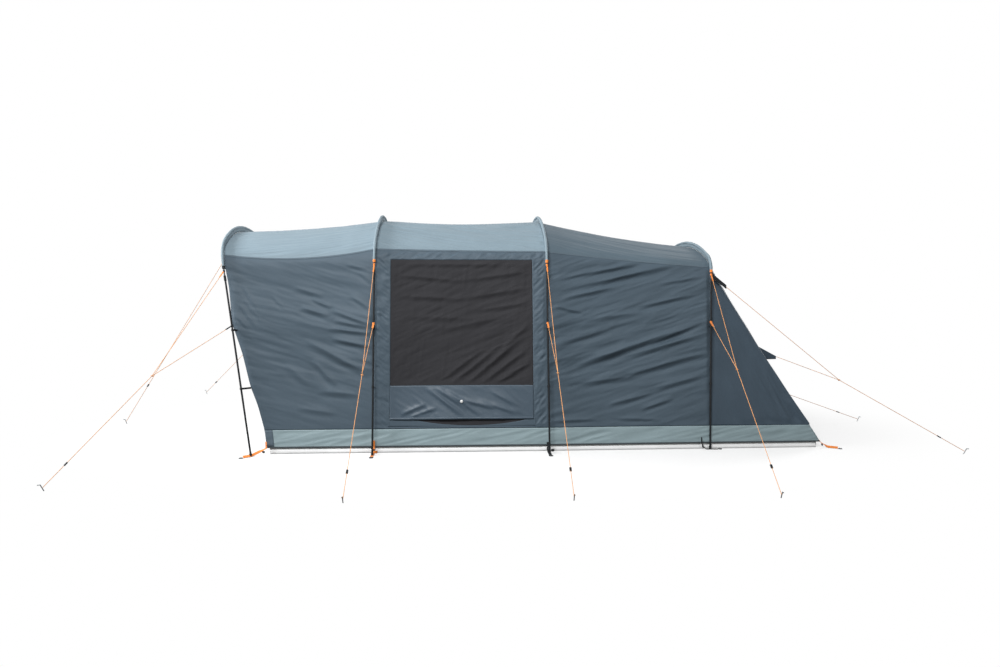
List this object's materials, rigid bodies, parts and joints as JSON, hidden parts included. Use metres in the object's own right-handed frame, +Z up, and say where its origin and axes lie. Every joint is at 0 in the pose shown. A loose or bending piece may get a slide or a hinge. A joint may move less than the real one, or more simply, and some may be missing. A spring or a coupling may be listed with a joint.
{
  "type": "tunnel tent on hoop poles",
  "caption": "Tunnel tent of coated cloth on sleeved hoop poles with steel legs, mesh side windows under flaps, a sloping vented tail, a zipped front door, skirts and tensioned guy lines.",
  "frame": {"origin": "On the ground, on the groundsheet's underside, in the tent's middle plane near its mid-length", "axes": "+X from the door end to the tail, +Y to the side away from the camera, +Z up"},
  "size_m": [6.8465, 4.607, 1.8525],
  "materials": {
    "roof_cloth": "light grey-blue coated polyester",
    "wall_cloth": "slate coated polyester",
    "tail_cloth": "dark slate coated polyester",
    "skirt_cloth": "pale slate coated polyester",
    "sleeve_cloth": "light grey-blue coated polyester",
    "mesh": "charcoal netting, matt",
    "groundsheet_film": "woven polythene, satin",
    "pole_rod": "black glass-fibre rod",
    "pole_leg": "black painted steel tube",
    "ferrule": "dark steel sleeve",
    "pole_foot": "moulded black nylon",
    "orange_webbing": "woven orange webbing",
    "buckle": "moulded black nylon",
    "ring": "plated steel",
    "clip": "moulded black nylon",
    "guy_cord": "braided orange cord",
    "link": "moulded black nylon",
    "runner": "moulded black nylon",
    "peg": "bright steel wire",
    "zip": "dark coated zinc"
  },
  "bodies": {
    "tent": {"end_guy_lines": "guy_cord", "far_guy_lines": "guy_cord", "far_skirt": "skirt_cloth", "far_tail_gusset": "tail_cloth", "far_wall_front": "wall_cloth", "far_wall_middle": "wall_cloth", "far_wall_rear": "wall_cloth", "far_window": "mesh", "foot_buckles": "buckle", "foot_straps": "orange_webbing", "front_wall": "wall_cloth", "groundsheet": "groundsheet_film", "guy_links": "link", "guy_pegs": "peg", "guy_tabs": "orange_webbing", "hoop_1_legs": "pole_leg", "hoop_1_rod": "pole_rod", "hoop_2_legs": "pole_leg", "hoop_2_rod": "pole_rod", "hoop_3_legs": "pole_leg", "hoop_3_rod": "pole_rod", "hoop_4_legs": "pole_leg", "hoop_4_rod": "pole_rod", "near_guy_lines": "guy_cord", "near_skirt": "skirt_cloth", "near_tail_gusset": "tail_cloth", "near_wall_front": "wall_cloth", "near_wall_middle": "wall_cloth", "near_wall_rear": "wall_cloth", "near_window": "mesh", "peg_rings": "ring", "pole_clips": "clip", "pole_feet": "pole_foot", "pole_ferrules": "ferrule", "pole_sleeves": "sleeve_cloth", "rear_panel": "tail_cloth", "rear_skirt": "skirt_cloth", "rear_vent_mesh": "mesh", "roof_front": "roof_cloth", "roof_middle": "roof_cloth", "roof_rear": "roof_cloth"},
    "near_door": {"near_door_leaf": "wall_cloth"},
    "far_door": {"far_door_leaf": "wall_cloth"},
    "zip_slider": {"door_zip_slider": "zip"},
    "near_flap": {"near_vent_flap": "wall_cloth"},
    "far_flap": {"far_vent_flap": "wall_cloth"},
    "vent_hood": {"rear_vent_hood": "tail_cloth"},
    "runner_far_1_body": {"runner_far_1": "runner"},
    "runner_far_2_body": {"runner_far_2": "runner"},
    "runner_far_3_body": {"runner_far_3": "runner"},
    "runner_far_4_body": {"runner_far_4": "runner"},
    "runner_front_body": {"runner_front": "runner"},
    "runner_near_1_body": {"runner_near_1": "runner"},
    "runner_near_2_body": {"runner_near_2": "runner"},
    "runner_near_3_body": {"runner_near_3": "runner"},
    "runner_near_4_body": {"runner_near_4": "runner"},
    "runner_tail_body": {"runner_tail": "runner"},
    "runner_tail_low_body": {"runner_tail_low": "runner"}
  },
  "joints": [
    {"name": "near_door_swing", "type": "hinge", "parent": "tent", "child": "near_door", "pos_m": [-1.9465, -0.5595, 0.11748], "axis": [-0.2224, 0, 0.975], "range_deg": [0, 110]},
    {"name": "far_door_swing", "type": "hinge", "parent": "tent", "child": "far_door", "pos_m": [-1.9465, 0.5595, 0.11748], "axis": [-0.2224, 0, 0.975], "range_deg": [-110, 0]},
    {"name": "zip_slide", "type": "slide", "parent": "near_door", "child": "zip_slider", "axis": [-0.2224, 0, 0.975], "range_m": [0, 1.294]},
    {"name": "near_flap_lift", "type": "hinge", "parent": "tent", "child": "near_flap", "pos_m": [0, -0.89073, 0.497], "axis": [1, 0, 0], "range_deg": [-80, 0]},
    {"name": "far_flap_lift", "type": "hinge", "parent": "tent", "child": "far_flap", "pos_m": [0, 0.89073, 0.497], "axis": [1, 0, 0], "range_deg": [0, 80]},
    {"name": "vent_hood_tilt", "type": "hinge", "parent": "tent", "child": "vent_hood", "pos_m": [1.9375, 0, 0.8], "axis": [0, 1, 0], "range_deg": [-10, 25]},
    {"name": "runner_near_1_slide", "type": "slide", "parent": "tent", "child": "runner_near_1_body", "axis": [0.5666, 0.4366, 0.6988], "range_m": [-0.147, 0.698]},
    {"name": "runner_near_2_slide", "type": "slide", "parent": "tent", "child": "runner_near_2_body", "axis": [0.0237, 0.7604, 0.6491], "range_m": [-0.161, 0.752]},
    {"name": "runner_near_3_slide", "type": "slide", "parent": "tent", "child": "runner_near_3_body", "axis": [0.002, 0.7651, 0.6439], "range_m": [-0.165, 0.767]},
    {"name": "runner_near_4_slide", "type": "slide", "parent": "tent", "child": "runner_near_4_body", "axis": [0.0259, 0.7833, 0.6211], "range_m": [-0.176, 0.812]},
    {"name": "runner_far_1_slide", "type": "slide", "parent": "tent", "child": "runner_far_1_body", "axis": [0.6675, -0.4462, 0.5961], "range_m": [-0.179, 0.826]},
    {"name": "runner_far_2_slide", "type": "slide", "parent": "tent", "child": "runner_far_2_body", "axis": [0.0237, -0.7604, 0.6491], "range_m": [-0.161, 0.752]},
    {"name": "runner_far_3_slide", "type": "slide", "parent": "tent", "child": "runner_far_3_body", "axis": [0.002, -0.7651, 0.6439], "range_m": [-0.165, 0.767]},
    {"name": "runner_far_4_slide", "type": "slide", "parent": "tent", "child": "runner_far_4_body", "axis": [0.0259, -0.7833, 0.6211], "range_m": [-0.176, 0.812]},
    {"name": "runner_front_slide", "type": "slide", "parent": "tent", "child": "runner_front_body", "axis": [0.5545, -0.1404, 0.8202], "range_m": [-0.373, 1.602]},
    {"name": "runner_tail_slide", "type": "slide", "parent": "tent", "child": "runner_tail_body", "axis": [-0.8165, 0.295, 0.4964], "range_m": [-0.168, 0.782]},
    {"name": "runner_tail_low_slide", "type": "slide", "parent": "tent", "child": "runner_tail_low_body", "axis": [-0.9387, -0.0933, 0.3318], "range_m": [-0.183, 0.843]}
  ]
}
